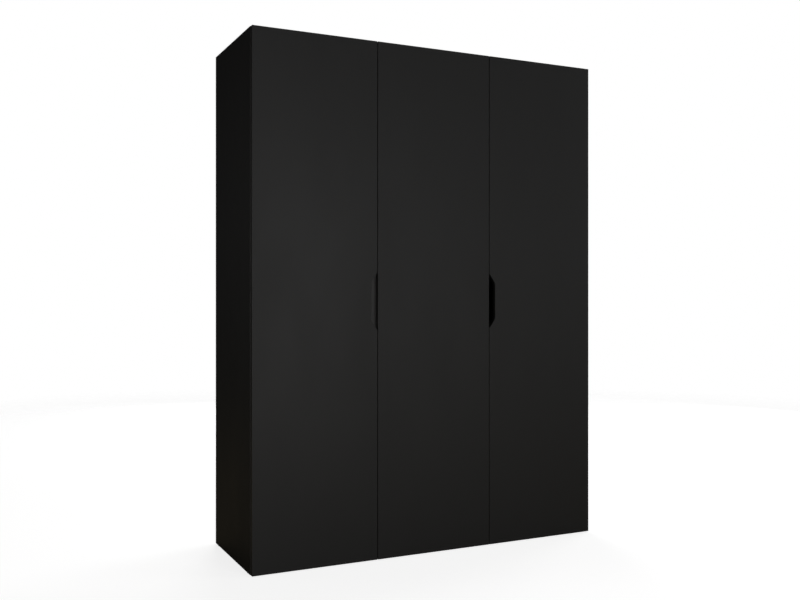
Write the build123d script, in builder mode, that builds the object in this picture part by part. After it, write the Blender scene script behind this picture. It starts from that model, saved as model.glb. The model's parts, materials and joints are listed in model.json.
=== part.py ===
"""A free-standing wardrobe with three flush doors.

Two flat-pack cabinets of laminated board, bolted side by side: a narrow one with shelves behind the left
door, and a wide one with a hat shelf and a hanging rail behind the middle and right doors.  Each door hangs
on concealed cup hinges, whose arms reach into the cups round the edge of the door.

Millimetres, +Z up, +Y towards the wall.  The origin is on the floor, in the middle of the footprint.
"""

import os

from build123d import *

# ---------------------------------------------------------------- driving dimensions
WIDTH = 1500.0
DEPTH = 514.0  # doors and back included
HEIGHT = 2000.0
BOARD = 18.0  # carcass boards and shelves
BOARD_EDGE = 0.8  # radius of the edge banding on the boards

DOOR_THICKNESS = 18.0
DOOR_CUSHION = 3.0  # between the back of a door and the front of the carcass
DOOR_GAP = 3.0  # between two doors
DOOR_REVEAL = 1.0  # door set in from the carcass at the sides and the top
DOOR_LIFT = 0.5  # door above the bottom end of the sides
DOOR_EDGE = 1.0  # radius of the edges of a door

GRIP_LENGTH = 221.0  # finger cut-out, measured along the edge of the door
GRIP_FLAT = 146.0  # straight inner stretch of the cut-out, before its corners are rounded
GRIP_REACH = 26.0  # how far the cut-out runs into the door
GRIP_CORNER = 22.0
GRIP_EDGE = 0.8  # radius of its edges
GRIP_HEIGHT = 998.0  # middle of the cut-out above the floor

GLIDE_HEIGHT = 3.0
GLIDE_RADIUS = 8.0
GLIDE_CHAMFER = 0.8
GLIDE_SETBACK = 40.0  # middle of a glide, from the end of its board
PLINTH_HEIGHT = 60.0
PLINTH_SETBACK = 22.0
BACK_SHEET = 3.0
BACK_REVEAL = 1.5
JOINER_FLANGE = 1.0
JOINER_WIDTH = 16.0
JOINER_WEB = 1.2
NAIL_SPACING = 240.0
NAIL_END = 60.0  # first and last nail of a row, from the edge of the sheet
NAIL_HEAD = 3.0
NAIL_HEAD_THICKNESS = 0.8

SHELF_SETBACK = 20.0
SHELF_PLAY = 0.6  # between the end of a loose shelf and the board beside it
BACK_PLAY = 0.5  # between the back of a shelf and the joiner strip
SHELF_COUNT = 6  # in the narrow cabinet, evenly spaced
FIXED_SHELF = 3  # the one that is held by cams, counted from 0
HAT_SPACE = 274.0  # clear height above the hat shelf

RAIL_WIDTH = 15.0
RAIL_TALL = 30.0
RAIL_WALL = 1.2
RAIL_DROP = 48.0  # middle of the rail below the hat shelf
SOCKET_BASE = 2.0
SOCKET_RIM = 2.5
SOCKET_LENGTH = 14.0
SOCKET_PLAY = 0.2
SOCKET_SCREW_SPACING = 52.0
SOCKET_EARS = 12.0  # socket base beyond its two screws, both ends together
RAIL_SCREW_RADIUS = 2.0
RAIL_SCREW_DEPTH = 12.0

PIN_RADIUS = 2.5  # shelf pins
PIN_DEPTH = 9.0
PIN_REACH = 8.0
PIN_INSET = 60.0  # from the front and back of the shelf
PIN_PITCH = 32.0
PIN_COLLAR = 1.5
PIN_COLLAR_WIDTH = 7.5

BOLT_SLEEVE_RADIUS = 4.0  # connecting bolts between the cabinets
BOLT_CAP_RADIUS = 8.0
BOLT_CAP = 1.8
BOLT_INSET = 120.0  # from the front and the back of the sides
BOLT_LEVEL = 60.0  # above the bottom panel and below the top panel

CAM_RADIUS = 7.5
CAM_BEYOND = 3.8  # depth of the cam past the middle of its board
CAM_SINK = 0.3  # top of the cam below the face of the board
CAM_OPENING = 3.0  # passage for the bolt, past the middle of the cam
CAM_SLOT_LONG = 10.0
CAM_SLOT_SHORT = 7.0
CAM_SLOT_WIDTH = 1.8
CAM_SLOT_DEPTH = 1.2
CAM_SETBACK = 34.0  # middle of the cam from the end of its board
CAM_INSET = 70.0  # from the front and the back of the board
BOLT_RADIUS = 3.5
BOLT_THREAD_RADIUS = 2.5
BOLT_THREAD = 11.0
BOLT_SHANK = 29.5
BOLT_WAIST = 3.0
BOLT_WAIST_RADIUS = 2.1
BOLT_HEAD = 2.4
DOWEL_RADIUS = 4.0
DOWEL_LENGTH = 30.0
DOWEL_IN_SIDE = 12.0
DOWEL_OFFSET = 32.0  # dowel beside the cam bolt
DRY_FIT = 0.1  # radial room round a cam, a bolt or a dowel

HINGES_PER_DOOR = 4
HINGE_END = 120.0  # first and last hinge, from the ends of the door
CUP_RADIUS = 17.5
CUP_WALL = 1.0
CUP_DEPTH = 14.3
CUP_FLOOR = 0.7
CUP_EDGE = 3.0  # from the edge of the door to the rim of the cup
CUP_FLANGE = 1.2
FLANGE_START = 5.5  # from the edge of the door
FLANGE_LIP = 1.0  # past the far rim of the cup
FLANGE_WIDTH = 30.0
EAR_WIDTH = 14.0  # ears of the flange, round the cup screws
EAR_SPAN = 58.0
CUP_SCREW_SPREAD = 22.5
CUP_SCREW_OFFSET = 9.5
PIVOT_EDGE = 7.3  # hinge pin from the edge of the door
PIVOT_DEPTH = 10.8  # hinge pin below the back face of the door
HINGE_PIN_RADIUS = 1.5
HINGE_PIN_PLAY = 0.2  # between the ends of the pin and the outside of the cup
EYE_RADIUS = 2.5
EYE_CLEARANCE = 0.05
NECK_WIDTH = 10.0
NECK_METAL = 2.0
NECK_DROP = 0.3  # front of the neck behind the front of the eye
NECK_LAP = 6.0  # neck along the arm
ARM_WIDTH = 13.0
ARM_METAL = 1.4
ARM_HEIGHT = 5.6
ARM_RISE = 7.3  # outside of the arm above the face that carries the plates
ARM_START = 4.0  # behind the front of the carcass
ARM_END = 60.0
ARM_SCREW_LINES = (24.0, 50.0)  # behind the front of the carcass
ARM_SCREW_DEPTH = 5.0
PLATE_BLOCK_WIDTH = 9.6
PLATE_BLOCK_START = 8.0  # behind the start of the arm
PLATE_BLOCK_END = 2.0  # short of the end of the arm
PLATE_WING = 1.5
PLATE_WIDTH = 18.0
PLATE_LENGTH = 52.0
PLATE_LINE = 37.0  # screw line behind the front of the carcass
PLATE_SCREW_SPACING = 32.0
PLATE_SCREW_RADIUS = 3.1
PLATE_SCREW_DEPTH = 11.0
ARM_SCREW_RADIUS = 2.0
SCREW_FIT = 0.05
SCREW_SHY = 0.5  # a screw ends short of the bottom of its hole
HEAD_RATIO = 1.7  # screw head over screw shank
HEAD_THICKNESS = 1.5

BUMPER_RADIUS = 4.5
BUMPER_EDGE = 10.0  # from the free edge of the door
BUMPER_PLAY = 0.2
BUMPER_ROUND = 1.6

BRACKET_METAL = 2.0
BRACKET_LEG = 32.0
BRACKET_WIDTH = 20.0
BRACKET_INSET = 220.0  # from the outer sides
BRACKET_SCREW_RADIUS = 2.0
BRACKET_SCREW_DEPTH = 12.0
WALL_HOLE_RADIUS = 3.0
BACK_HOLE_RADIUS = 5.0

# ---------------------------------------------------------------- places worked out from them
HALF_WIDTH = WIDTH / 2
DOOR_FRONT = -DEPTH / 2
DOOR_BACK = DOOR_FRONT + DOOR_THICKNESS
FRONT = DOOR_BACK + DOOR_CUSHION  # front plane of the carcass
BACK = DEPTH / 2 - JOINER_FLANGE - BACK_SHEET  # back plane of the boards
SHELF_FRONT = FRONT + SHELF_SETBACK
SHELF_BACK = BACK - JOINER_FLANGE - BACK_PLAY

BASE_Z = GLIDE_HEIGHT + PLINTH_HEIGHT  # underside of the bottom panels
BASE_TOP = BASE_Z + BOARD
CEILING = HEIGHT - BOARD

DOOR_WIDTH = (WIDTH - 2 * DOOR_REVEAL - 2 * DOOR_GAP) / 3
DOOR_BOTTOM = GLIDE_HEIGHT + DOOR_LIFT
DOOR_TOP = HEIGHT - DOOR_REVEAL
LEFT_DOOR = (-HALF_WIDTH + DOOR_REVEAL, -HALF_WIDTH + DOOR_REVEAL + DOOR_WIDTH)
MIDDLE_DOOR = (LEFT_DOOR[1] + DOOR_GAP, LEFT_DOOR[1] + DOOR_GAP + DOOR_WIDTH)
RIGHT_DOOR = (MIDDLE_DOOR[1] + DOOR_GAP, HALF_WIDTH - DOOR_REVEAL)

SPLIT = (LEFT_DOOR[1] + MIDDLE_DOOR[0]) / 2  # where the two cabinets meet
NARROW = (-HALF_WIDTH + BOARD, SPLIT - BOARD)  # clear width of each cabinet
WIDE = (SPLIT + BOARD, HALF_WIDTH - BOARD)
CABINETS = {"left": NARROW, "right": WIDE}
SIDE_MIDDLES = (-HALF_WIDTH + BOARD / 2, SPLIT - BOARD / 2, SPLIT + BOARD / 2, HALF_WIDTH - BOARD / 2)
BACK_SEAM = (WIDE[0] + WIDE[1]) / 2  # where the two sheets of the wide back meet

SHELF_SPACE = (CEILING - BASE_TOP - SHELF_COUNT * BOARD) / (SHELF_COUNT + 1)
SHELF_Z = [BASE_TOP + SHELF_SPACE + n * (SHELF_SPACE + BOARD) for n in range(SHELF_COUNT)]  # undersides
FIXED_SHELF_Z = SHELF_Z[FIXED_SHELF]
LOOSE_SHELF_Z = [z for z in SHELF_Z if z != FIXED_SHELF_Z]
HAT_SHELF_Z = CEILING - HAT_SPACE - BOARD

HINGE_Z = [
    DOOR_BOTTOM + HINGE_END + n * (DOOR_TOP - DOOR_BOTTOM - 2 * HINGE_END) / (HINGES_PER_DOOR - 1)
    for n in range(HINGES_PER_DOOR)
]
PIVOT_Y = DOOR_BACK - PIVOT_DEPTH
WEB_OUTSIDE = BOARD - DOOR_REVEAL + ARM_RISE  # outside of the arm, from the edge of the door
CUP_MIDDLE = CUP_EDGE + CUP_RADIUS
PIN_CHORD = CUP_MIDDLE - PIVOT_EDGE + HINGE_PIN_RADIUS  # far side of the pin, from the middle of the cup
HINGE_PIN_LENGTH = 2 * ((CUP_RADIUS**2 - PIN_CHORD**2) ** 0.5 - HINGE_PIN_PLAY)
CAM_DEPTH = BOARD / 2 + CAM_BEYOND
RAIL_Z = HAT_SHELF_Z - RAIL_DROP
RAIL_Y = (FRONT + BACK) / 2

LOW = (Align.MIN, Align.MIN, Align.MIN)
UPWARD = (Align.CENTER, Align.CENTER, Align.MIN)
X, Y, Z = Vector(1, 0, 0), Vector(0, 1, 0), Vector(0, 0, 1)


def block(x, y, z, mode=Mode.ADD):
    """A square block between the two ends of each span."""
    with Locations((x[0], y[0], z[0])):
        Box(x[1] - x[0], y[1] - y[0], z[1] - z[0], align=LOW, mode=mode)


def board(x, y, z):
    """A board with banded edges."""
    block(x, y, z)
    fillet(edges(), BOARD_EDGE)


def drill(at, outward, radius, depth):
    """A blind hole, whose mouth is at a point and faces outward."""
    with Locations(Plane(origin=at, z_dir=outward)):
        Hole(radius, depth)


def turned(at, upward, radius, height):
    """A round pin standing on a point."""
    with Locations(Plane(origin=at, z_dir=upward)):
        Cylinder(radius, height, align=UPWARD)


def screw(at, outward, radius, shank):
    """A pan-head screw, whose head sits on a point."""
    turned(Vector(at) - outward * shank, outward, radius, shank)
    turned(at, outward, radius * HEAD_RATIO, HEAD_THICKNESS)


def save(builder, name):
    """Labels a finished piece and writes it out."""
    builder.part.label = name
    export_step(builder.part, f"parts/{name}.step")


# ---------------------------------------------------------------- where boards are joined
class CamJoint:
    """Two cams, their bolts and two dowels, where the end of one board meets the face of another."""

    def __init__(self, corner, into, cam_face, half):
        self.corner = corner  # middle of the joint, on the mating plane
        self.into = into  # from the face of the one board into the end of the other
        self.cam_face = cam_face  # from the middle of the board to the face that holds the cams
        self.half = half  # half of the board's thickness

    def bolts(self):
        """Mouths of the bolt holes, front and back."""
        return [Vector(self.corner.X, y, self.corner.Z) for y in (FRONT + CAM_INSET, BACK - CAM_INSET)]

    def dowels(self):
        """Mouths of the dowel holes, each beside its bolt towards the middle."""
        front, back = self.bolts()
        return [front + Y * DOWEL_OFFSET, back - Y * DOWEL_OFFSET]

    def cams(self):
        """Middles of the cams' mouths."""
        return [at + self.into * CAM_SETBACK + self.cam_face * self.half for at in self.bolts()]

    def drill_face(self):
        """The holes in the board whose face is met."""
        for at in self.bolts():
            drill(at, self.into, BOLT_THREAD_RADIUS, BOLT_THREAD + DRY_FIT)
        for at in self.dowels():
            drill(at, self.into, DOWEL_RADIUS + DRY_FIT, DOWEL_IN_SIDE + DRY_FIT)

    def drill_end(self):
        """The holes in the board whose end is held."""
        for at in self.bolts():
            drill(at, -self.into, BOLT_RADIUS + DRY_FIT, CAM_SETBACK)
        for at in self.cams():
            drill(at, self.cam_face, CAM_RADIUS + DRY_FIT, CAM_DEPTH + DRY_FIT)
        for at in self.dowels():
            drill(at, -self.into, DOWEL_RADIUS + DRY_FIT, DOWEL_LENGTH - DOWEL_IN_SIDE + DRY_FIT)


def level_joint(x, into, z, cam_face):
    """A joint at the end of a level board, whose underside is at z."""
    return CamJoint(Vector(x, 0, z + BOARD / 2), into, cam_face, BOARD / 2)


def joint_pair(cabinet, z, cam_face):
    """The joints at the two ends of a level board in a cabinet."""
    start, end = CABINETS[cabinet]
    return level_joint(start, X, z, cam_face), level_joint(end, -X, z, cam_face)


TOP_JOINTS = {cabinet: joint_pair(cabinet, CEILING, -Z) for cabinet in CABINETS}
BASE_JOINTS = {cabinet: joint_pair(cabinet, BASE_Z, -Z) for cabinet in CABINETS}
SHELF_JOINTS = {"left": joint_pair("left", FIXED_SHELF_Z, -Z), "right": joint_pair("right", HAT_SHELF_Z, Z)}
JOINT_GROUPS = (TOP_JOINTS, BASE_JOINTS, SHELF_JOINTS)
JOINTS = [joint for group in JOINT_GROUPS for pair in group.values() for joint in pair]


def drill_side(cabinet, end):
    """The joint holes in a cabinet's left side (end 0) or right side (end 1)."""
    for group in JOINT_GROUPS:
        group[cabinet][end].drill_face()


# ---------------------------------------------------------------- where hinges and shelf pins sit
class HingeSide:
    """The hinges of one door: its hanging edge, its direction, and the face that holds the plates."""

    def __init__(self, edge, reach, face):
        self.edge = edge
        self.reach = reach  # +1 where the door runs to the right of its hinges
        self.inset = abs(face - edge)  # from the edge of the door to the face of the board
        self.face = face

    def frames(self):
        """One frame per hinge, level with it: X runs from the edge of the door into the door."""
        return [
            Plane(origin=(self.edge, 0, z), x_dir=X * self.reach, z_dir=Z * self.reach) for z in HINGE_Z
        ]

    def screw_holes(self):
        """Holes for the plate screws, in the board that carries the plates."""
        for z in HINGE_Z:
            for side in (-1, 1):
                at = (self.face, FRONT + PLATE_LINE, z + side * PLATE_SCREW_SPACING / 2)
                drill(at, X * self.reach, PLATE_SCREW_RADIUS + SCREW_FIT, PLATE_SCREW_DEPTH + SCREW_FIT)

    def cup_holes(self):
        """Bores for the cups and their screws, in the back of the door."""
        for z in HINGE_Z:
            cup_x = self.edge + self.reach * CUP_MIDDLE
            drill((cup_x, DOOR_BACK, z), Y, CUP_RADIUS, CUP_DEPTH)
            for side in (-1, 1):
                at = (cup_x + self.reach * CUP_SCREW_OFFSET, DOOR_BACK, z + side * CUP_SCREW_SPREAD)
                drill(at, Y, ARM_SCREW_RADIUS + SCREW_FIT, PLATE_SCREW_DEPTH + SCREW_FIT)


HANGING = {
    "left": HingeSide(LEFT_DOOR[0], 1, NARROW[0]),
    "middle": HingeSide(MIDDLE_DOOR[0], 1, WIDE[0]),
    "right": HingeSide(RIGHT_DOOR[1], -1, WIDE[1]),
}
PIN_Y = (SHELF_FRONT + PIN_INSET, SHELF_BACK - PIN_INSET)


def pin_holes(x, outward):
    """Rows of shelf-pin holes: three heights for each loose shelf."""
    for shelf_z in LOOSE_SHELF_Z:
        for step in (-1, 0, 1):
            for y in PIN_Y:
                drill((x, y, shelf_z - PIN_RADIUS + step * PIN_PITCH), outward, PIN_RADIUS, PIN_DEPTH)


PLINTH_FRONT = (FRONT + PLINTH_SETBACK, FRONT + PLINTH_SETBACK + BOARD)
PLINTH_BACK = (BACK - BOARD, BACK)


def glide_spots():
    """Middles of the glides: under both ends of the four sides and of the brace."""
    spots = [(x, y) for x in SIDE_MIDDLES for y in (FRONT + GLIDE_SETBACK, BACK - GLIDE_SETBACK)]
    ends = (PLINTH_FRONT[1] + GLIDE_SETBACK, PLINTH_BACK[0] - GLIDE_SETBACK)
    return spots + [(BACK_SEAM, y) for y in ends]


RAIL_SCREW_Z = [RAIL_Z + side * SOCKET_SCREW_SPACING / 2 for side in (-1, 1)]
RAIL_ENDS = ((WIDE[0], X), (WIDE[1], -X))


def rail_screw_holes(end):
    """Holes for the screws of one rail socket."""
    x, outward = RAIL_ENDS[end]
    for z in RAIL_SCREW_Z:
        drill((x, RAIL_Y, z), outward, RAIL_SCREW_RADIUS + SCREW_FIT, RAIL_SCREW_DEPTH)


BOLT_ROWS = (FRONT + BOLT_INSET, BACK - BOLT_INSET)
CONNECTORS = [(y, z) for y in BOLT_ROWS for z in (BASE_TOP + BOLT_LEVEL, CEILING - BOLT_LEVEL)]


def connector_holes():
    """Holes for the bolts between the cabinets, through both inner sides."""
    for y, z in CONNECTORS:
        with Locations(Plane(origin=(SPLIT + BOARD, y, z), z_dir=X)):
            Hole(BOLT_SLEEVE_RADIUS + DRY_FIT, 2 * BOARD)


BRACKET_X = (NARROW[0] + BRACKET_INSET, WIDE[1] - BRACKET_INSET)
BRACKET_SCREW_Y = BACK - BRACKET_LEG / 2 - BRACKET_METAL
WALL_HOLE_Z = CEILING - BRACKET_LEG / 2 - BRACKET_METAL

os.makedirs("parts", exist_ok=True)

# ---------------------------------------------------------------- sides
SIDE_Z = (GLIDE_HEIGHT, HEIGHT)

with BuildPart() as left_side:
    board((-HALF_WIDTH, NARROW[0]), (FRONT, BACK), SIDE_Z)
    drill_side("left", 0)
    HANGING["left"].screw_holes()
    pin_holes(NARROW[0], X)
save(left_side, "left_side")

with BuildPart() as left_inner_side:
    board((NARROW[1], SPLIT), (FRONT, BACK), SIDE_Z)
    drill_side("left", 1)
    pin_holes(NARROW[1], -X)
    connector_holes()
save(left_inner_side, "left_inner_side")

with BuildPart() as right_inner_side:
    board((SPLIT, WIDE[0]), (FRONT, BACK), SIDE_Z)
    drill_side("right", 0)
    HANGING["middle"].screw_holes()
    rail_screw_holes(0)
    connector_holes()
save(right_inner_side, "right_inner_side")

with BuildPart() as right_side:
    board((WIDE[1], HALF_WIDTH), (FRONT, BACK), SIDE_Z)
    drill_side("right", 1)
    HANGING["right"].screw_holes()
    rail_screw_holes(1)
save(right_side, "right_side")

# ---------------------------------------------------------------- tops, bottoms and plinths
PLINTH_Z = (GLIDE_HEIGHT, BASE_Z)
for name, span in CABINETS.items():
    with BuildPart() as top_panel:
        board(span, (FRONT, BACK), (CEILING, HEIGHT))
        for joint in TOP_JOINTS[name]:
            joint.drill_end()
        for x in BRACKET_X:
            if span[0] < x < span[1]:
                at = (x, BRACKET_SCREW_Y, CEILING)
                drill(at, -Z, BRACKET_SCREW_RADIUS + SCREW_FIT, BRACKET_SCREW_DEPTH)
    save(top_panel, f"{name}_top_panel")

    with BuildPart() as bottom_panel:
        board(span, (FRONT, BACK), (BASE_Z, BASE_TOP))
        for joint in BASE_JOINTS[name]:
            joint.drill_end()
    save(bottom_panel, f"{name}_bottom_panel")

    with BuildPart() as front_plinth:
        board(span, PLINTH_FRONT, PLINTH_Z)
    save(front_plinth, f"{name}_front_plinth")

    with BuildPart() as back_plinth:
        board(span, PLINTH_BACK, PLINTH_Z)
    save(back_plinth, f"{name}_back_plinth")

with BuildPart() as plinth_brace:
    board((BACK_SEAM - BOARD / 2, BACK_SEAM + BOARD / 2), (PLINTH_FRONT[1], PLINTH_BACK[0]), PLINTH_Z)
save(plinth_brace, "plinth_brace")

with BuildPart() as cabinet_bolts:
    for y, z in CONNECTORS:
        turned((NARROW[1], y, z), X, BOLT_SLEEVE_RADIUS, 2 * BOARD)
        turned((NARROW[1], y, z), -X, BOLT_CAP_RADIUS, BOLT_CAP)
        turned((WIDE[0], y, z), X, BOLT_CAP_RADIUS, BOLT_CAP)
save(cabinet_bolts, "cabinet_bolts")

# ---------------------------------------------------------------- shelves
with BuildPart() as hat_shelf:
    board(WIDE, (SHELF_FRONT, SHELF_BACK), (HAT_SHELF_Z, HAT_SHELF_Z + BOARD))
    for joint in SHELF_JOINTS["right"]:
        joint.drill_end()
save(hat_shelf, "hat_shelf")

with BuildPart() as fixed_shelf:
    board(NARROW, (SHELF_FRONT, SHELF_BACK), (FIXED_SHELF_Z, FIXED_SHELF_Z + BOARD))
    for joint in SHELF_JOINTS["left"]:
        joint.drill_end()
save(fixed_shelf, "fixed_shelf")

for number, shelf_z in enumerate(LOOSE_SHELF_Z, start=1):
    with BuildPart() as loose_shelf:
        ends = (NARROW[0] + SHELF_PLAY, NARROW[1] - SHELF_PLAY)
        board(ends, (SHELF_FRONT, SHELF_BACK), (shelf_z, shelf_z + BOARD))
    save(loose_shelf, f"loose_shelf_{number}")

with BuildPart() as shelf_pins:
    for shelf_z in LOOSE_SHELF_Z:
        for y in PIN_Y:
            for x, outward in ((NARROW[0], X), (NARROW[1], -X)):
                mouth = Vector(x, y, shelf_z - PIN_RADIUS)
                foot = mouth - outward * (PIN_DEPTH - SCREW_FIT)
                turned(foot, outward, PIN_RADIUS - SCREW_FIT, PIN_DEPTH + PIN_REACH)
                with Locations(Plane(origin=mouth, x_dir=Y, z_dir=outward)):
                    Box(PIN_COLLAR_WIDTH, 2 * (PIN_RADIUS - SCREW_FIT), PIN_COLLAR, align=UPWARD)
save(shelf_pins, "shelf_pins")

# ---------------------------------------------------------------- hanging rail
with BuildPart() as hanging_rail:
    rail_start = WIDE[0] + SOCKET_BASE
    with BuildSketch(Plane.YZ.offset(rail_start)):
        with Locations((RAIL_Y, RAIL_Z)):
            SlotOverall(RAIL_TALL, RAIL_WIDTH, rotation=90)
            SlotOverall(
                RAIL_TALL - 2 * RAIL_WALL, RAIL_WIDTH - 2 * RAIL_WALL, rotation=90, mode=Mode.SUBTRACT
            )
    extrude(amount=WIDE[1] - SOCKET_BASE - rail_start)
save(hanging_rail, "hanging_rail")

with BuildPart() as rail_sockets:
    for x, outward in RAIL_ENDS:
        face = Plane(origin=(x, RAIL_Y, RAIL_Z), x_dir=Z, z_dir=outward)
        with BuildSketch(face):
            SlotOverall(SOCKET_SCREW_SPACING + SOCKET_EARS, RAIL_WIDTH + 2 * SOCKET_RIM)
            with GridLocations(SOCKET_SCREW_SPACING, 0, 2, 1):
                Circle(RAIL_SCREW_RADIUS + DRY_FIT, mode=Mode.SUBTRACT)
        extrude(amount=SOCKET_BASE)
        with BuildSketch(face.offset(SOCKET_BASE)):
            SlotOverall(RAIL_TALL + 2 * SOCKET_RIM, RAIL_WIDTH + 2 * SOCKET_RIM)
            SlotOverall(RAIL_TALL + 2 * SOCKET_PLAY, RAIL_WIDTH + 2 * SOCKET_PLAY, mode=Mode.SUBTRACT)
        extrude(amount=SOCKET_LENGTH)
save(rail_sockets, "rail_sockets")

with BuildPart() as rail_screws:
    for x, outward in RAIL_ENDS:
        for z in RAIL_SCREW_Z:
            mouth = Vector(x, RAIL_Y, z)
            hidden = RAIL_SCREW_DEPTH - SCREW_SHY
            screw(mouth + outward * SOCKET_BASE, outward, RAIL_SCREW_RADIUS, hidden + SOCKET_BASE)
save(rail_screws, "rail_screws")

# ---------------------------------------------------------------- back
BACK_Z = (GLIDE_HEIGHT + BACK_REVEAL, HEIGHT - BACK_REVEAL)
BACK_Y = (BACK, BACK + BACK_SHEET)
SHEETS = {
    "left_back_sheet": (-HALF_WIDTH + BACK_REVEAL, SPLIT - BACK_REVEAL),
    "middle_back_sheet": (SPLIT + BACK_REVEAL, BACK_SEAM - JOINER_WEB / 2),
    "right_back_sheet": (BACK_SEAM + JOINER_WEB / 2, HALF_WIDTH - BACK_REVEAL),
}
for name, span in SHEETS.items():
    with BuildPart() as back_sheet:
        block(span, BACK_Y, BACK_Z)
        for x in BRACKET_X:
            if span[0] < x < span[1]:
                drill((x, BACK + BACK_SHEET, WALL_HOLE_Z), Y, BACK_HOLE_RADIUS, BACK_SHEET)
    save(back_sheet, name)

with BuildPart() as back_joiner:
    joiner_x = (BACK_SEAM - JOINER_WIDTH / 2, BACK_SEAM + JOINER_WIDTH / 2)
    block(joiner_x, (BACK_Y[1], BACK_Y[1] + JOINER_FLANGE), (BASE_TOP, CEILING))
    block(joiner_x, (BACK - JOINER_FLANGE, BACK), (BASE_TOP, CEILING))
    block((BACK_SEAM - JOINER_WEB / 2, BACK_SEAM + JOINER_WEB / 2), BACK_Y, (BASE_TOP, CEILING))
save(back_joiner, "back_joiner")


def evenly(start, end, spacing):
    """Places from start to end, no further apart than the spacing."""
    count = int((end - start) / spacing) + 1
    return [start + (end - start) * n / count for n in range(count + 1)]


NAIL_ROWS = evenly(BACK_Z[0] + NAIL_END, BACK_Z[1] - NAIL_END, NAIL_SPACING)
nail_spots = [(x, z) for x in SIDE_MIDDLES for z in NAIL_ROWS]
for span in SHEETS.values():
    for x in evenly(span[0] + NAIL_END, span[1] - NAIL_END, NAIL_SPACING):
        nail_spots += [(x, CEILING + BOARD / 2), (x, BASE_Z + BOARD / 2)]
with BuildPart() as back_nails:
    for x, z in nail_spots:
        turned((x, BACK_Y[1], z), Y, NAIL_HEAD, NAIL_HEAD_THICKNESS)
save(back_nails, "back_nails")

# ---------------------------------------------------------------- glides, joints and brackets
with BuildPart() as glides:
    for x, y in glide_spots():
        turned((x, y, 0), Z, GLIDE_RADIUS, GLIDE_HEIGHT)
    chamfer(faces().sort_by(Axis.Z)[: len(glide_spots())].edges(), GLIDE_CHAMFER)
save(glides, "glides")

with BuildPart() as cam_locks:
    for joint in JOINTS:
        for at in joint.cams():
            turned(at - joint.cam_face * CAM_DEPTH, joint.cam_face, CAM_RADIUS, CAM_DEPTH - CAM_SINK)
            mouth = at - joint.cam_face * joint.half - joint.into * 2 * CAM_RADIUS
            with Locations(Plane(origin=mouth, z_dir=joint.into)):
                passage = 2 * CAM_RADIUS + CAM_OPENING
                Cylinder(BOLT_RADIUS + 2 * DRY_FIT, passage, align=UPWARD, mode=Mode.SUBTRACT)
            with Locations(Plane(origin=at - joint.cam_face * CAM_SINK, x_dir=Y, z_dir=joint.cam_face)):
                Box(CAM_SLOT_LONG, CAM_SLOT_WIDTH, 2 * CAM_SLOT_DEPTH, mode=Mode.SUBTRACT)
                Box(CAM_SLOT_WIDTH, CAM_SLOT_SHORT, 2 * CAM_SLOT_DEPTH, mode=Mode.SUBTRACT)
save(cam_locks, "cam_locks")

with BuildPart() as cam_bolts:
    for joint in JOINTS:
        for at in joint.bolts():
            turned(at - joint.into * BOLT_THREAD, joint.into, BOLT_THREAD_RADIUS - SCREW_FIT, BOLT_THREAD)
            turned(at, joint.into, BOLT_RADIUS, BOLT_SHANK)
            turned(at, joint.into, BOLT_WAIST_RADIUS, BOLT_SHANK + BOLT_WAIST)
            turned(at + joint.into * (BOLT_SHANK + BOLT_WAIST), joint.into, BOLT_RADIUS, BOLT_HEAD)
save(cam_bolts, "cam_bolts")

with BuildPart() as dowels:
    for joint in JOINTS:
        for at in joint.dowels():
            turned(at - joint.into * DOWEL_IN_SIDE, joint.into, DOWEL_RADIUS, DOWEL_LENGTH)
save(dowels, "dowels")

with BuildPart() as wall_brackets:
    for x in BRACKET_X:
        span = (x - BRACKET_WIDTH / 2, x + BRACKET_WIDTH / 2)
        leg = BRACKET_LEG + BRACKET_METAL
        block(span, (BACK - leg, BACK), (CEILING - BRACKET_METAL, CEILING))
        block(span, (BACK - BRACKET_METAL, BACK), (CEILING - leg, CEILING))
        drill((x, BRACKET_SCREW_Y, CEILING), Z, BRACKET_SCREW_RADIUS + SCREW_FIT, BRACKET_METAL)
        drill((x, BACK, WALL_HOLE_Z), Y, WALL_HOLE_RADIUS, BRACKET_METAL)
save(wall_brackets, "wall_brackets")

with BuildPart() as bracket_screws:
    for x in BRACKET_X:
        seat = (x, BRACKET_SCREW_Y, CEILING - BRACKET_METAL)
        screw(seat, -Z, BRACKET_SCREW_RADIUS, BRACKET_METAL + BRACKET_SCREW_DEPTH - SCREW_SHY)
save(bracket_screws, "bracket_screws")


# ---------------------------------------------------------------- doors
GRIP_SPILL = 6.0  # the cutter runs past the edge of the door
ON_EDGE = 0.01  # nearer than this counts as on it


def cut_grip(edge, side):
    """A finger cut-out through a door: side is -1 where the door is left of the edge."""
    outer, inner = edge - side * GRIP_SPILL, edge + side * GRIP_REACH
    half, flat = GRIP_LENGTH / 2, GRIP_FLAT / 2
    upper = [(outer, half), (edge, half), (inner, flat)]
    lower = [(x, -z) for x, z in reversed(upper)]
    with BuildSketch(Plane.XZ.offset(-DOOR_FRONT)) as outline:
        with Locations((0, GRIP_HEIGHT)):
            Polygon(*(upper + lower), align=None)
        fillet([v for v in vertices() if abs(v.X - inner) < ON_EDGE], GRIP_CORNER)
    extrude(outline.sketch, amount=-DOOR_THICKNESS, mode=Mode.SUBTRACT)


def grip_rim(edge, side):
    """The front and back edges of a finger cut-out."""
    half = GRIP_LENGTH / 2 + 1
    rim = edges().filter_by_position(Axis.X, *sorted((edge - side, edge + side * (GRIP_REACH + 1))))
    rim = rim.filter_by_position(Axis.Z, GRIP_HEIGHT - half, GRIP_HEIGHT + half)
    return [e for e in rim if min(abs(e.center().Y - y) for y in (DOOR_FRONT, DOOR_BACK)) < ON_EDGE]


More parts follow.
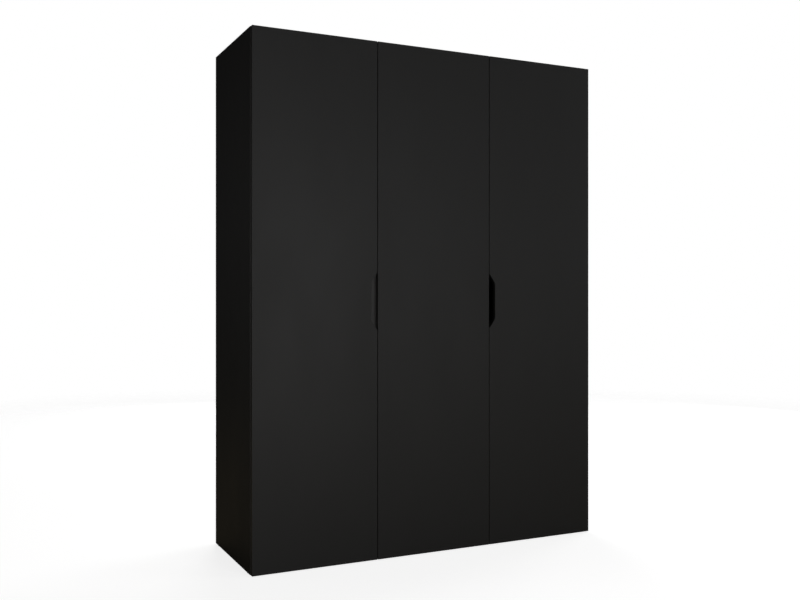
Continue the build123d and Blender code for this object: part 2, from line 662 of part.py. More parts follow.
def door(span, hanging, grip_edge=None, grip_side=0):
    """A door slab with its cup bores, and a finger cut-out where it has one."""
    block(span, (DOOR_FRONT, DOOR_BACK), (DOOR_BOTTOM, DOOR_TOP))
    fillet(edges(), DOOR_EDGE)
    if grip_side:
        cut_grip(grip_edge, grip_side)
        fillet(grip_rim(grip_edge, grip_side), GRIP_EDGE)
    hanging.cup_holes()


with BuildPart() as left_door:
    door(LEFT_DOOR, HANGING["left"], LEFT_DOOR[1], -1)
save(left_door, "left_door")

with BuildPart() as middle_door:
    door(MIDDLE_DOOR, HANGING["middle"])
save(middle_door, "middle_door")

with BuildPart() as right_door:
    door(RIGHT_DOOR, HANGING["right"], RIGHT_DOOR[0], 1)
save(right_door, "right_door")

FREE_EDGES = {"left": (LEFT_DOOR[1], -1), "middle": (MIDDLE_DOOR[1], -1), "right": (RIGHT_DOOR[0], 1)}
for name, (edge, side) in FREE_EDGES.items():
    with BuildPart() as bumpers:
        for z in (BASE_Z + BOARD / 2, CEILING + BOARD / 2):
            turned((edge + side * BUMPER_EDGE, DOOR_BACK, z), Y, BUMPER_RADIUS, DOOR_CUSHION - BUMPER_PLAY)
        fillet(faces().filter_by(Axis.Y).group_by(Axis.Y)[-1].edges(), BUMPER_ROUND)
    save(bumpers, f"{name}_door_bumpers")

# ---------------------------------------------------------------- hinges, in each hinge's own frame
CUP_SCREW_X = CUP_MIDDLE + CUP_SCREW_OFFSET
ARM_Y = (FRONT + ARM_START, FRONT + ARM_END)
ARM_SCREW_Y = [FRONT + line for line in ARM_SCREW_LINES]
BLOCK_TOP = WEB_OUTSIDE - ARM_METAL - SCREW_FIT
BLOCK_Y = (ARM_Y[0] + PLATE_BLOCK_START, ARM_Y[1] - PLATE_BLOCK_END)
WING_Y = (FRONT + PLATE_LINE - PLATE_WIDTH / 2, FRONT + PLATE_LINE + PLATE_WIDTH / 2)
FLANGE_X = (FLANGE_START, CUP_MIDDLE + CUP_RADIUS + FLANGE_LIP)
FLANGE_Y = (DOOR_BACK, DOOR_BACK + CUP_FLANGE)
EAR_X = (CUP_SCREW_X - EAR_WIDTH / 2, CUP_SCREW_X + EAR_WIDTH / 2)
NECK_FRONT = PIVOT_Y - EYE_RADIUS + NECK_DROP


def across(width):
    """A span of a width, centred on the hinge."""
    return -width / 2, width / 2


def tube_along_y(x, y, z, radius, length, mode=Mode.ADD):
    """A cylinder along Y, from y towards -Y."""
    with Locations((x, y - length / 2, z)):
        Cylinder(radius, length, rotation=(90, 0, 0), mode=mode)


def hole_along_x(x, y, z, radius, length):
    """A round hole along X, from x onwards."""
    with Locations((x + length / 2, y, z)):
        Cylinder(radius, length, rotation=(0, 90, 0), mode=Mode.SUBTRACT)


for name, hanging in HANGING.items():
    frames = hanging.frames()

    with BuildPart(*frames) as cups:
        tube_along_y(CUP_MIDDLE, DOOR_BACK, 0, CUP_RADIUS, CUP_DEPTH)
        block(FLANGE_X, FLANGE_Y, across(FLANGE_WIDTH))
        block(EAR_X, FLANGE_Y, across(EAR_SPAN))
        tube_along_y(
            CUP_MIDDLE, FLANGE_Y[1], 0, CUP_RADIUS - CUP_WALL,
            CUP_DEPTH + CUP_FLANGE - CUP_FLOOR, mode=Mode.SUBTRACT,
        )
        for side in (-1, 1):
            tube_along_y(
                CUP_SCREW_X, FLANGE_Y[1], side * CUP_SCREW_SPREAD,
                ARM_SCREW_RADIUS + SCREW_FIT, CUP_FLANGE, mode=Mode.SUBTRACT,
            )
        with Locations((PIVOT_EDGE, PIVOT_Y, 0)):
            Cylinder(HINGE_PIN_RADIUS, HINGE_PIN_LENGTH, mode=Mode.SUBTRACT)
    save(cups, f"{name}_hinge_cups")

    with BuildPart(*frames) as pins:
        with Locations((PIVOT_EDGE, PIVOT_Y, 0)):
            Cylinder(HINGE_PIN_RADIUS, HINGE_PIN_LENGTH)
    save(pins, f"{name}_hinge_pins")

    with BuildPart(*frames) as cup_screws:
        for side in (-1, 1):
            seat = (CUP_SCREW_X, FLANGE_Y[1], side * CUP_SCREW_SPREAD)
            screw(seat, Y, ARM_SCREW_RADIUS, PLATE_SCREW_DEPTH + CUP_FLANGE - SCREW_SHY)
    save(cup_screws, f"{name}_cup_screws")

    web_x = (WEB_OUTSIDE - ARM_METAL, WEB_OUTSIDE)
    with BuildPart(*frames) as arms:
        with Locations((PIVOT_EDGE, PIVOT_Y, 0)):
            Cylinder(EYE_RADIUS, NECK_WIDTH)
        block((PIVOT_EDGE, WEB_OUTSIDE), (NECK_FRONT, NECK_FRONT + NECK_METAL), across(NECK_WIDTH))
        leg_x = (WEB_OUTSIDE - NECK_METAL, WEB_OUTSIDE)
        block(leg_x, (NECK_FRONT, ARM_Y[0] + NECK_LAP), across(NECK_WIDTH))
        block(web_x, ARM_Y, across(ARM_WIDTH))
        for side in (-1, 1):
            flange_z = sorted((side * ARM_WIDTH / 2, side * (ARM_WIDTH / 2 - ARM_METAL)))
            block((WEB_OUTSIDE - ARM_HEIGHT, WEB_OUTSIDE), ARM_Y, flange_z)
        for y in ARM_SCREW_Y:
            hole_along_x(web_x[0], y, 0, ARM_SCREW_RADIUS + DRY_FIT, ARM_METAL)
        with Locations((PIVOT_EDGE, PIVOT_Y, 0)):
            Cylinder(HINGE_PIN_RADIUS + EYE_CLEARANCE, NECK_WIDTH, mode=Mode.SUBTRACT)
    save(arms, f"{name}_hinge_arms")

    wing_x = (hanging.inset, hanging.inset + PLATE_WING)
    plate_screws = [side * PLATE_SCREW_SPACING / 2 for side in (-1, 1)]
    with BuildPart(*frames) as plates:
        block(wing_x, WING_Y, across(PLATE_LENGTH))
        block((hanging.inset, BLOCK_TOP), BLOCK_Y, across(PLATE_BLOCK_WIDTH))
        for z in plate_screws:
            hole_along_x(wing_x[0], FRONT + PLATE_LINE, z, PLATE_SCREW_RADIUS + SCREW_FIT, PLATE_WING)
        for y in ARM_SCREW_Y:
            hole_along_x(BLOCK_TOP - ARM_SCREW_DEPTH, y, 0, ARM_SCREW_RADIUS + SCREW_FIT, ARM_SCREW_DEPTH)
    save(plates, f"{name}_hinge_plates")

    with BuildPart(*frames) as hinge_screws:
        for z in plate_screws:
            shank = PLATE_WING + PLATE_SCREW_DEPTH - SCREW_SHY
            screw((wing_x[1], FRONT + PLATE_LINE, z), X, PLATE_SCREW_RADIUS, shank)
        for y in ARM_SCREW_Y:
            shank = WEB_OUTSIDE - BLOCK_TOP + ARM_SCREW_DEPTH - SCREW_SHY
            screw((WEB_OUTSIDE, y, 0), X, ARM_SCREW_RADIUS, shank)
    save(hinge_screws, f"{name}_hinge_screws")
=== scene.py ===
"""The looks of the wardrobe: materials, small hardware, studio light and camera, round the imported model."""

import json
import math

import bmesh
import bpy
from mathutils import Matrix, Vector


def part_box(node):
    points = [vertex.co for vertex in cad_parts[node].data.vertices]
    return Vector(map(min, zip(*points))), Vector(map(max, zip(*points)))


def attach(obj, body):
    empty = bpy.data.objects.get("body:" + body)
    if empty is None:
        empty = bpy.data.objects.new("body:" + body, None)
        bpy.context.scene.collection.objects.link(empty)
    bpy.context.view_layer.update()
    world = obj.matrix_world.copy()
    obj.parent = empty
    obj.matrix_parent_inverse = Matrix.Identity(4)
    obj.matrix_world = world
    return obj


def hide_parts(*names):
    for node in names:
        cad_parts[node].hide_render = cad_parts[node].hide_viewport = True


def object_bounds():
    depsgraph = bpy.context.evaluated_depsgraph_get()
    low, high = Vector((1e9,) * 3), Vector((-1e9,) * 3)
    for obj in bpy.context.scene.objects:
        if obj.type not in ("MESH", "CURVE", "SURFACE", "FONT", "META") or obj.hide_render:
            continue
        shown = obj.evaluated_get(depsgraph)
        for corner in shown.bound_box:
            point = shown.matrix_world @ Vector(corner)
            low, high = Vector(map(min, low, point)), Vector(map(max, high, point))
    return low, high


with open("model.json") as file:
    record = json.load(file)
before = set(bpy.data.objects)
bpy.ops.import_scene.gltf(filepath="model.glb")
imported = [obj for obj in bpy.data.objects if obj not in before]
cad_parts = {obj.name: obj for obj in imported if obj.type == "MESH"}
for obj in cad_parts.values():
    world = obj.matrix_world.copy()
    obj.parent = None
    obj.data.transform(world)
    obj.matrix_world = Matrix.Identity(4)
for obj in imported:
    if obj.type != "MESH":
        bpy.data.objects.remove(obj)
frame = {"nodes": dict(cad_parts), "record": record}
cad_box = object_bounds()
LOW, HIGH = cad_box
MM = 0.001
SAME_POINT = 0.001 * MM  # corners closer than this are one corner

# ---------------------------------------------------------------- camera
CAMERA_AT = Vector((-1.720, -3.494, 1.015))
CAMERA_HEADING = 25.8  # degrees, from +Y towards +X
LENS = 41.55
RISE = -0.0039

camera_data = bpy.data.cameras.new("camera")
camera_data.sensor_width = 36.0
camera_data.lens = LENS
camera_data.shift_y = RISE
camera = bpy.data.objects.new("camera", camera_data)
camera.location = CAMERA_AT
camera.rotation_euler = (math.radians(90), 0, math.radians(-CAMERA_HEADING))
bpy.context.scene.collection.objects.link(camera)
bpy.context.scene.camera = camera
bpy.context.scene.view_settings.view_transform = "Standard"


# ---------------------------------------------------------------- materials
class Surface:
    """A Principled material, and a short way of adding nodes to it."""

    def __init__(self, name, roughness=0.5, metallic=0.0, specular=0.5):
        self.material = bpy.data.materials.new(name)
        self.material.use_nodes = True
        self.tree = self.material.node_tree
        self.shader = self.tree.nodes["Principled BSDF"]
        self.shader.inputs["Roughness"].default_value = roughness
        self.shader.inputs["Metallic"].default_value = metallic
        self.shader.inputs["Specular IOR Level"].default_value = specular
        self.place = self.add("ShaderNodeTexCoord").outputs["Object"]

    def add(self, kind, inputs=None, **settings):
        """A node, with its settings and its inputs: a socket is linked, and anything else is a value."""
        node = self.tree.nodes.new(kind)
        for key, value in settings.items():
            setattr(node, key, value)
        for key, value in (inputs or {}).items():
            if isinstance(value, bpy.types.NodeSocket):
                self.tree.links.new(value, node.inputs[key])
            else:
                node.inputs[key].default_value = value
        return node

    def math(self, operation, a, b=0.0, c=0.0):
        return self.add("ShaderNodeMath", {0: a, 1: b, 2: c}, operation=operation).outputs[0]

    def stretched(self, scale):
        """The object's coordinates, in metres, times a scale along each axis."""
        return self.add("ShaderNodeMapping", {"Vector": self.place, "Scale": scale}).outputs[0]

    def noise(self, scale, detail=3.0, roughness=0.5, place=None):
        inputs = {
            "Vector": place or self.place, "Scale": scale, "Detail": detail, "Roughness": roughness,
        }
        return self.add("ShaderNodeTexNoise", inputs).outputs["Fac"]

    def ramp(self, value, low, high, to_low=0.0, to_high=1.0):
        """A value taken from one range to another, and held at its ends."""
        inputs = {"Value": value, "From Min": low, "From Max": high, "To Min": to_low, "To Max": to_high}
        return self.add("ShaderNodeMapRange", inputs, clamp=True).outputs["Result"]

    def blend(self, amount, first, second):
        node = self.add("ShaderNodeMix", data_type="RGBA")
        for socket, value in zip((node.inputs[0], node.inputs[6], node.inputs[7]), (amount, first, second)):
            if isinstance(value, bpy.types.NodeSocket):
                self.tree.links.new(value, socket)
            else:
                socket.default_value = value
        return node.outputs[2]

    def colour(self, value):
        self.tree.links.new(value, self.shader.inputs["Base Color"])

    def roughness(self, value):
        self.tree.links.new(value, self.shader.inputs["Roughness"])

    def bump(self, height, distance, strength=1.0):
        """Adds relief, over any that is there already."""
        before = self.shader.inputs["Normal"]
        inputs = {"Height": height, "Distance": distance, "Strength": strength}
        if before.is_linked:
            inputs["Normal"] = before.links[0].from_socket
        node = self.add("ShaderNodeBump", inputs)
        self.tree.links.new(node.outputs[0], before)


def grey(value, warmth=0.0):
    """A near-neutral colour, a little redder and less blue with warmth."""
    return (value * (1 + warmth), value, value * (1 - warmth), 1.0)


def edge_distances(surface, low, high):
    """How far a point lies inside a box, from the nearer face along each axis."""
    middle, half = (low + high) / 2, (high - low) / 2
    offset = surface.add("ShaderNodeVectorMath", {0: surface.place, 1: middle}, operation="SUBTRACT")
    size = surface.add("ShaderNodeVectorMath", {0: offset.outputs[0]}, operation="ABSOLUTE")
    left = surface.add("ShaderNodeVectorMath", {0: half, 1: size.outputs[0]}, operation="SUBTRACT")
    return surface.add("ShaderNodeSeparateXYZ", {0: left.outputs[0]}).outputs


BAND = 1.0 * MM  # thickness of the edge banding


def laminate(name, node, thin, tone):
    """Matt melamine on a board whose thin direction is an axis, with banded edges whose band carries a
    painted highlight.
    """
    surface = Surface(name, roughness=0.5, specular=0.42)
    low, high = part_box(node)
    gaps = edge_distances(surface, low, high)
    long_axes = [axis for axis in range(3) if axis != thin]
    to_edge = surface.math("MINIMUM", gaps[long_axes[0]], gaps[long_axes[1]])
    on_band = surface.ramp(to_edge, BAND * 1.05, BAND * 0.95)
    joint = surface.math("ABSOLUTE", surface.math("SUBTRACT", to_edge, BAND))
    seam = surface.ramp(joint, 0.0, 0.12 * MM, 1.0, 0.0)

    clouds = surface.noise(2.2, detail=2.0)
    pearl = surface.noise(1400.0, detail=2.0, roughness=0.6)
    orange_peel = surface.noise(210.0, detail=2.0)
    wiped = surface.noise(6.0, detail=4.0, place=surface.stretched((1.0, 1.0, 0.35)))

    sheet = surface.blend(clouds, grey(tone * 0.93, 0.02), grey(tone * 1.07, 0.02))
    sheet = surface.blend(surface.ramp(pearl, 0.35, 0.75, 0.0, 0.3), sheet, grey(tone * 1.35, 0.02))
    # painted highlight: the edge band is coloured 2.4 times lighter than the sheet, standing in for the sheen
    # along the board edges
    band_highlighted = surface.blend(on_band, sheet, grey(tone * 2.4, 0.03))
    surface.colour(surface.blend(seam, band_highlighted, grey(tone * 0.35)))
    rough = surface.ramp(wiped, 0.3, 0.7, 0.50, 0.57)
    surface.roughness(surface.math("MULTIPLY_ADD", on_band, -0.08, rough))
    surface.bump(orange_peel, 0.02 * MM, 0.5)
    surface.bump(pearl, 0.012 * MM, 0.6)
    surface.bump(surface.math("MULTIPLY", seam, -1.0), 0.05 * MM, 0.8)
    return surface.material


def hardboard(name):
    """Thin lacquered hardboard: fine fibres lying every way."""
    surface = Surface(name, roughness=0.62, specular=0.35)
    fibres = surface.noise(520.0, detail=5.0, roughness=0.65, place=surface.stretched((1.0, 1.0, 0.22)))
    across = surface.noise(480.0, detail=5.0, roughness=0.65, place=surface.stretched((0.25, 1.0, 1.0)))
    tangle = surface.math("MAXIMUM", fibres, across)
    clouds = surface.noise(3.0)
    base = surface.blend(clouds, grey(0.044, 0.06), grey(0.054, 0.09))
    surface.colour(surface.blend(surface.ramp(tangle, 0.55, 0.8), base, grey(0.08, 0.16)))
    surface.roughness(surface.ramp(tangle, 0.4, 0.75, 0.56, 0.72))
    surface.bump(tangle, 0.05 * MM, 0.7)
    return surface.material


def plated(name, tone, warmth, roughness, grain=0.3):
    """Plated metal: faint clouding, drawn streaks and fine scratches."""
    surface = Surface(name, roughness=roughness, metallic=1.0)
    clouds = surface.noise(90.0, detail=3.0)
    streaks = surface.noise(260.0, detail=4.0, place=surface.stretched((1.0, 1.0, 9.0)))
    surface.colour(surface.blend(clouds, grey(tone * 0.93, warmth), grey(tone * 1.05, warmth)))
    surface.roughness(surface.ramp(streaks, 0.3, 0.7, roughness * 0.8, roughness * 1.25))
    surface.bump(streaks, 0.01 * MM, grain)
    return surface.material


def moulded(name, tone, roughness):
    """Moulded plastic with a fine spark-eroded texture."""
    surface = Surface(name, roughness=roughness, specular=0.45)
    spark = surface.noise(1900.0, detail=2.0, roughness=0.7)
    clouds = surface.noise(60.0)
    surface.colour(surface.blend(clouds, grey(tone * 0.92), grey(tone * 1.08)))
    surface.roughness(surface.ramp(spark, 0.3, 0.7, roughness * 0.9, roughness * 1.1))
    surface.bump(spark, 0.02 * MM, 0.6)
    return surface.material


def beech(name):
    """Plain beech, with short dark flecks along the grain."""
    surface = Surface(name, roughness=0.6, specular=0.3)
    grain = surface.noise(700.0, detail=3.0, place=surface.stretched((0.12, 1.0, 1.0)))
    surface.colour(surface.blend(grain, (0.5, 0.34, 0.2, 1), (0.66, 0.5, 0.33, 1)))
    surface.bump(grain, 0.03 * MM, 0.5)
    return surface.material


DOOR_TONE = 0.008
CARCASS_TONE = 0.008


def thin_axis(node):
    """The axis across a board: X for sides, Y for doors and plinths, and Z for level boards."""
    if node.endswith("_side") or node == "plinth_brace":
        return 0
    return 1 if node.endswith(("_door", "_plinth")) else 2


plain_materials = {
    "back_board": hardboard("hardboard"),
    "nickel_steel": plated("nickel_plated_steel", 0.66, 0.025, 0.36, 0.12),
    "zinc_steel": plated("zinc_plated_steel", 0.66, -0.01, 0.4, 0.12),
    "zinc_fittings": plated("die_cast_zinc", 0.56, 0.0, 0.46, 0.3),
    "bright_tube": plated("bright_chrome", 0.76, 0.0, 0.16, 0.05),
    "black_plastic": moulded("black_plastic", 0.022, 0.5),
    "clear_rubber": moulded("soft_rubber", 0.33, 0.4),
    "beech": beech("beech"),
}
slot_of = {row["node"]: row["material_slot"] for row in frame["record"]["subparts"]}
for node, obj in frame["nodes"].items():
    slot = slot_of[node]
    if slot in ("door_board", "carcass_board"):
        tone = DOOR_TONE if slot == "door_board" else CARCASS_TONE
        material = laminate(f"laminate_{node}", node, thin_axis(node), tone)
    else:
        material = plain_materials[slot]
    obj.data.materials.clear()
    obj.data.materials.append(material)


# ---------------------------------------------------------------- small hardware
HEAD_RATIO = 1.7  # screw head over screw shank
HEAD_THICKNESS = 1.5 * MM
THREAD_PITCH = 0.62  # of the shank's radius
HEAD_PROFILE = [  # radius over the head's, and height over its thickness, from the seat to the crown
    (0.94, 0.0), (1.0, 0.1), (1.0, 0.34), (0.95, 0.58), (0.82, 0.8), (0.62, 0.94), (0.35, 1.0),
]
CAP_PROFILE = [(0.96, 0.0), (1.0, 0.12), (1.0, 0.55), (0.96, 0.8), (0.88, 1.0)]
CAP_THICKNESS = 1.8 * MM
SLEEVE_RADIUS = 4.0 * MM
SEGMENTS = 40
SHANK_SEGMENTS = 20
RINGS_PER_TURN = 6
THREAD_CORE = 0.74  # of the shank's radius
RIDGE_SLOPE = 3.2  # how fast a thread's ridge falls off to the core
POINT_WIDTH = 0.12  # share of the full width that is left at the tip
POINT_LENGTH = 1.3  # over the shank's radius: the height in which the point gains a full width
INTO_HEAD = 0.2 * MM  # how far the shank runs up into the head
CROSS_REACH = 0.52  # of the head's radius
CROSS_HALF_WIDTH = 0.12  # of the head's radius
CROSS_FLOOR = 0.25  # of the head's thickness
CROSS_TOP = 1.2  # of the head's thickness
CROSS_TAPER = 0.55  # the recess's width at its floor over its width at the top
SOCKET_RADIUS = 0.36  # of the cap's radius
SOCKET_BELOW_SEAT = 1.0 * MM
SOCKET_PROUD = 0.5 * MM  # how far the cutter stands out of the bolt
NEAR_RIM = 0.9  # of the head's radius: corners at a screw's end and wider than this are on its head
SMOOTH_BELOW = 38  # degrees between faces that are shaded as one
BEVEL_ABOVE = 40  # degrees between faces whose edge is softened


def lathe(mesh, rings, segments=SEGMENTS):
    """A closed round shell. Each ring is (radius, height); a radius may be a function of the angle."""
    rows = []
    for radius, height in rings:
        row = []
        for step in range(segments):
            angle = math.tau * step / segments
            reach = radius(angle) if callable(radius) else radius
            row.append(mesh.verts.new((reach * math.cos(angle), reach * math.sin(angle), height)))
        rows.append(row)
    for lower, upper in zip(rows, rows[1:]):
        for step in range(segments):
            after = (step + 1) % segments
            mesh.faces.new((lower[step], lower[after], upper[after], upper[step]))
    mesh.faces.new(list(reversed(rows[0])))
    mesh.faces.new(rows[-1])


def prism(mesh, outline, bottom, top, taper):
    """A cutter: an outline at the top, drawn in by taper at the bottom."""
    lower = [mesh.verts.new((x * taper, y * taper, bottom)) for x, y in outline]
    upper = [mesh.verts.new((x, y, top)) for x, y in outline]
    for step in range(len(outline)):
        after = (step + 1) % len(outline)
        mesh.faces.new((lower[step], lower[after], upper[after], upper[step]))
    mesh.faces.new(list(reversed(lower)))
    mesh.faces.new(upper)


def cross(reach, half_width):
    """The outline of a cross, counter-clockwise."""
    quarter = [(reach, -half_width), (reach, half_width), (half_width, half_width)]
    turns = [(1, 0), (0, 1), (-1, 0), (0, -1)]
    return [(x * c - y * s, x * s + y * c) for c, s in turns for x, y in quarter]


def hexagon(radius):
    """The outline of a regular hexagon, counter-clockwise."""
    return [(radius * math.cos(math.tau * n / 6), radius * math.sin(math.tau * n / 6)) for n in range(6)]


def to_data(name, mesh):
    """Mesh data made from a bmesh, which it frees."""
    bmesh.ops.recalc_face_normals(mesh, faces=mesh.faces)
    data = bpy.data.meshes.new(name)
    mesh.to_mesh(data)
    mesh.free()
    return data


def carved(body, cutter):
    """The body's mesh with the cutter's taken out of it."""
    held = [bpy.data.objects.new("carving", data) for data in (body, cutter)]
    for obj in held:
        bpy.context.scene.collection.objects.link(obj)
    cut = held[0].modifiers.new("cut", "BOOLEAN")
    cut.operation, cut.solver, cut.object = "DIFFERENCE", "EXACT", held[1]
    graph = bpy.context.evaluated_depsgraph_get()
    result = bpy.data.meshes.new_from_object(held[0].evaluated_get(graph))
    for obj in held:
        bpy.data.objects.remove(obj)
    return result


def thread(shank, length):
    """Rings of a screw's shank, from its point up to just inside the head."""
    pitch = shank * THREAD_PITCH
    core = shank * THREAD_CORE
    count = int(length / pitch * RINGS_PER_TURN)
    rings = []
    for step in range(count + 1):
        height = -length + (length + INTO_HEAD) * step / count
        narrow = min(1.0, POINT_WIDTH + (height + length) / (POINT_LENGTH * shank))

        def radius(angle, height=height, narrow=narrow):
            phase = (height / pitch - angle / math.tau) % 1.0
            ridge = max(0.0, 1 - RIDGE_SLOPE * abs(phase - 0.5))
            return narrow * (core + (shank - core) * ridge)

        rings.append((radius, height))
    return rings


def screw_mesh(shank, length):
    """A pan-head screw with a cross recess, whose head sits on the origin and whose shank goes down."""
    head = shank * HEAD_RATIO
    crown = bmesh.new()
    lathe(crown, [(head * r, HEAD_THICKNESS * z) for r, z in HEAD_PROFILE])
    recess = bmesh.new()
    outline = cross(head * CROSS_REACH, head * CROSS_HALF_WIDTH)
    prism(recess, outline, HEAD_THICKNESS * CROSS_FLOOR, HEAD_THICKNESS * CROSS_TOP, CROSS_TAPER)
    screw = bmesh.new()
    screw.from_mesh(carved(to_data("crown", crown), to_data("recess", recess)))
    shaft = bmesh.new()
    lathe(shaft, thread(shank, length), SHANK_SEGMENTS)
    screw.from_mesh(to_data("shaft", shaft))
    return to_data("screw", screw)


def bolt_mesh(cap, length):
    """A connecting bolt along Z, centred on the origin: two capped ends, each with a hexagon socket."""
    seat = length / 2 - CAP_THICKNESS
    upper = [(cap * r, seat + CAP_THICKNESS * z) for r, z in CAP_PROFILE]
    lower = [(radius, -height) for radius, height in reversed(upper)]
    body = bmesh.new()
    lathe(body, lower + [(SLEEVE_RADIUS, -seat), (SLEEVE_RADIUS, seat)] + upper)
    sockets = bmesh.new()
    outline = hexagon(cap * SOCKET_RADIUS)
    prism(sockets, outline, seat - SOCKET_BELOW_SEAT, length / 2 + SOCKET_PROUD, 1.0)
    prism(sockets, outline, -length / 2 - SOCKET_PROUD, -seat + SOCKET_BELOW_SEAT, 1.0)
    return carved(to_data("bolt_body", body), to_data("sockets", sockets))


def solids(node):
    """The corners of each separate solid in a CAD node."""
    mesh = bmesh.new()
    mesh.from_mesh(frame["nodes"][node].data)
    bmesh.ops.remove_doubles(mesh, verts=mesh.verts, dist=SAME_POINT)
    waiting, groups = set(mesh.verts), []
    for first in mesh.verts:
        if first not in waiting:
            continue
        waiting.remove(first)
        reached, group = [first], []
        while reached:
            vert = reached.pop()
            group.append(vert.co.copy())
            beside = {edge.other_vert(vert) for edge in vert.link_edges} & waiting
            waiting -= beside
            reached.extend(beside)
        groups.append(group)
    mesh.free()
    return groups


def corners(points):
    """The lowest and highest corner of the box round some points."""
    low = Vector([min(p[axis] for p in points) for axis in range(3)])
    high = Vector([max(p[axis] for p in points) for axis in range(3)])
    return low, high


def axis_of(points):
    """The long axis of a solid of revolution, its middle, its length and its largest radius."""
    low, high = corners(points)
    size = high - low
    axis = max(range(3), key=lambda n: size[n])
    return axis, (low + high) / 2, size[axis], size[(axis + 1) % 3] / 2


def facing(axis, sign, at):
    """A matrix that stands a piece made along Z on a point, along an axis."""
    along = Vector((0, 0, 0))
    along[axis] = sign
    return Matrix.Translation(at) @ along.to_track_quat("Z", "Y").to_matrix().to_4x4()


def add_piece(name, node, mesh):
    """A finished piece that stands for a CAD node, moves with it and has its finish."""
    data = to_data(name, mesh)
    data.materials.append(plain_materials[slot_of[node]])
    data.shade_smooth()
    data.set_sharp_from_angle(angle=math.radians(SMOOTH_BELOW))
    piece = bpy.data.objects.new(name, data)
    bpy.context.scene.collection.objects.link(piece)
    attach(piece, body_of_node[node])
    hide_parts(node)


body_of_node = {
    node: body for body, nodes in frame["record"]["behaviour"]["bodies"].items() for node in nodes
}
screw_patterns = {}
for node in sorted(frame["nodes"]):
    if not node.endswith("_screws"):
        continue
    together = bmesh.new()
    for points in solids(node):
        axis, middle, length, head = axis_of(points)
        rim = (length / 2) ** 2 + (head * NEAR_RIM) ** 2
        wide = [p for p in points if (p - middle).length_squared > rim]
        sign = 1 if wide[0][axis] > middle[axis] else -1
        seat = middle.copy()
        seat[axis] += sign * (length / 2 - HEAD_THICKNESS)
        size = (round(head / HEAD_RATIO, 6), round(length - HEAD_THICKNESS, 6))
        if size not in screw_patterns:
            screw_patterns[size] = screw_mesh(*size)
        copy = screw_patterns[size].copy()
        copy.transform(facing(axis, sign, seat))
        together.from_mesh(copy)
    add_piece(f"{node}_threaded", node, together)

together = bmesh.new()
for points in solids("cabinet_bolts"):
    axis, middle, length, cap = axis_of(points)
    bolt = bolt_mesh(cap, length)
    bolt.transform(facing(axis, 1, middle))
    together.from_mesh(bolt)
add_piece("cabinet_bolts_socketed", "cabinet_bolts", together)

SOFTENED = {  # ending of a node's name: bevel on its edges, in mm
    "_hinge_arms": 0.25, "_hinge_cups": 0.25, "_hinge_plates": 0.25, "_hinge_pins": 0.15,
    "shelf_pins": 0.45, "back_nails": 0.3, "wall_brackets": 0.4, "rail_sockets": 0.5, "back_joiner": 0.2,
    "cam_locks": 0.18, "cam_bolts": 0.3, "dowels": 0.8, "hanging_rail": 0.15,
}
for node, obj in frame["nodes"].items():
    for ending, width in SOFTENED.items():
        if node.endswith(ending):
            weld = obj.modifiers.new("weld", "WELD")
            weld.merge_threshold = SAME_POINT
            bevel = obj.modifiers.new("bevel", "BEVEL")
            bevel.width, bevel.segments = width * MM, 2
            bevel.limit_method, bevel.angle_limit = "ANGLE", math.radians(BEVEL_ABOVE)
            bevel.harden_normals = True


# ---------------------------------------------------------------- studio
def softbox(name, at, aim, width, height, watts, tint=(1, 1, 1)):
    """A rectangular light at a point, turned to face another point."""
    data = bpy.data.lights.new(name, "AREA")
    data.shape = "RECTANGLE"
    data.size, data.size_y = width, height
    data.energy = watts
    data.color = tint
    light = bpy.data.objects.new(name, data)
    light.location = at
    light.rotation_euler = (Vector(aim) - Vector(at)).to_track_quat("-Z", "Z").to_euler()
    bpy.context.scene.collection.objects.link(light)


MIDDLE = (LOW + HIGH) / 2
WARM = (1.0, 0.91, 0.76)
softbox("front_left", (-1.7, -5.4, 1.02), MIDDLE, 1.6, 1.6, 67)
softbox("front", (1.3, -5.0, 1.1), MIDDLE, 1.6, 1.6, 24)
softbox("right", (4.3, -2.8, 1.4), MIDDLE, 1.8, 2.2, 13)
softbox("high_right", (3.2, -2.4, 3.6), MIDDLE, 1.8, 1.8, 8)
softbox("high_front", (0.3, -4.2, 3.6), MIDDLE, 1.8, 1.6, 7)
softbox("left", (-5.0, -0.8, 1.6), MIDDLE, 1.8, 2.2, 4.6, WARM)
softbox("back_left", (-4.2, 2.4, 1.6), MIDDLE, 2.2, 2.6, 7)
softbox("back_right", (5.0, 2.0, 1.6), MIDDLE, 2.2, 2.4, 50)
softbox("back", (1.4, 5.0, 1.6), MIDDLE, 2.4, 2.4, 60)
softbox("overhead", (0.3, 0.9, 4.6), (0.3, 0.3, 0), 2.0, 1.4, 20)

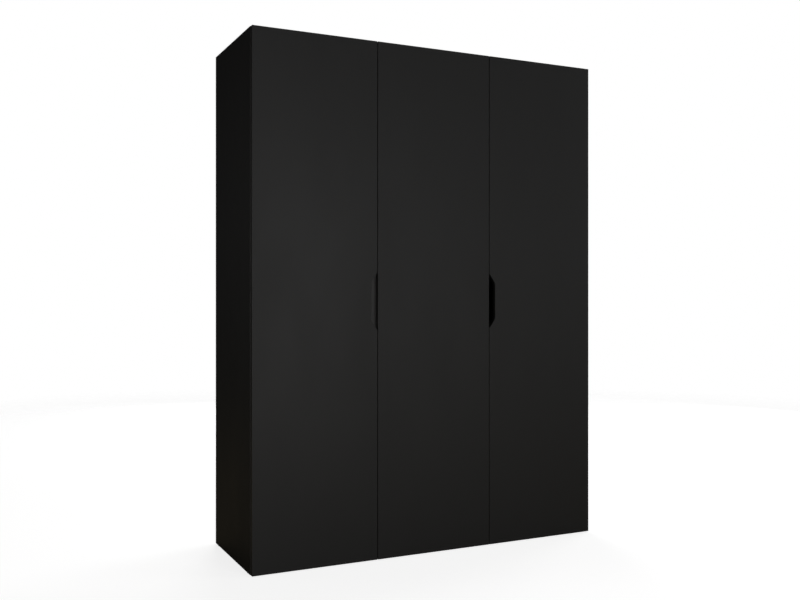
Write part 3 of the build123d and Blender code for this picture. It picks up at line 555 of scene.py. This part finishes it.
AMBIENT = 0.01  # the surroundings' light on the object; to the camera they are white
world = bpy.data.worlds.new("studio")
world.use_nodes = True
world_nodes, world_links = world.node_tree.nodes, world.node_tree.links
ambient = world_nodes["Background"]
ambient.inputs[0].default_value = (1, 1, 1, 1)
ambient.inputs[1].default_value = AMBIENT
backdrop = world_nodes.new("ShaderNodeBackground")
backdrop.inputs[0].default_value = (1, 1, 1, 1)
backdrop.inputs[1].default_value = 1.0
rays = world_nodes.new("ShaderNodeLightPath")
chooser = world_nodes.new("ShaderNodeMixShader")
world_links.new(rays.outputs["Is Camera Ray"], chooser.inputs[0])
world_links.new(ambient.outputs[0], chooser.inputs[1])
world_links.new(backdrop.outputs[0], chooser.inputs[2])
world_links.new(chooser.outputs[0], world_nodes["World Output"].inputs[0])
bpy.context.scene.world = world

FLOOR_RADIUS = 7.0
FLOOR_GLOW = 0.80  # makes up for the low light, so that the floor is pale in the picture
FLOOR_BOUNCE = (0.31, 0.26, 0.17, 1)  # the floor's colour to every ray but the camera's
FADE_FROM = 1.8


def pale_floor():
    """A matt floor that looks pale, throws little light back and thins out to the surroundings."""
    surface = Surface("pale_floor", roughness=0.8, specular=0.2)
    speckle = surface.noise(40.0, detail=4.0)
    surface.colour(surface.blend(speckle, grey(0.80), grey(0.84)))
    surface.shader.inputs["Emission Color"].default_value = (1, 1, 1, 1)
    surface.shader.inputs["Emission Strength"].default_value = FLOOR_GLOW
    dull = surface.add("ShaderNodeBsdfDiffuse", {"Color": FLOOR_BOUNCE})
    rays = surface.add("ShaderNodeLightPath").outputs["Is Camera Ray"]
    centre = surface.add("ShaderNodeVectorMath", {0: surface.place}, operation="LENGTH").outputs["Value"]
    clear = surface.add("ShaderNodeBsdfTransparent")
    output = next(n for n in surface.tree.nodes if n.type == "OUTPUT_MATERIAL")
    seen = surface.add("ShaderNodeMixShader", {0: rays, 1: dull.outputs[0], 2: surface.shader.outputs[0]})
    fade = surface.ramp(centre, FADE_FROM, FLOOR_RADIUS * 0.95)
    faded = surface.add("ShaderNodeMixShader", {0: fade, 1: seen.outputs[0], 2: clear.outputs[0]})
    surface.tree.links.new(faded.outputs[0], output.inputs[0])
    return surface.material


floor_mesh = bmesh.new()
bmesh.ops.create_circle(floor_mesh, cap_ends=True, radius=FLOOR_RADIUS, segments=96)
floor_data = bpy.data.meshes.new("floor")
floor_mesh.to_mesh(floor_data)
floor_mesh.free()
floor = bpy.data.objects.new("floor", floor_data)
floor.data.materials.append(pale_floor())
bpy.context.scene.collection.objects.link(floor)
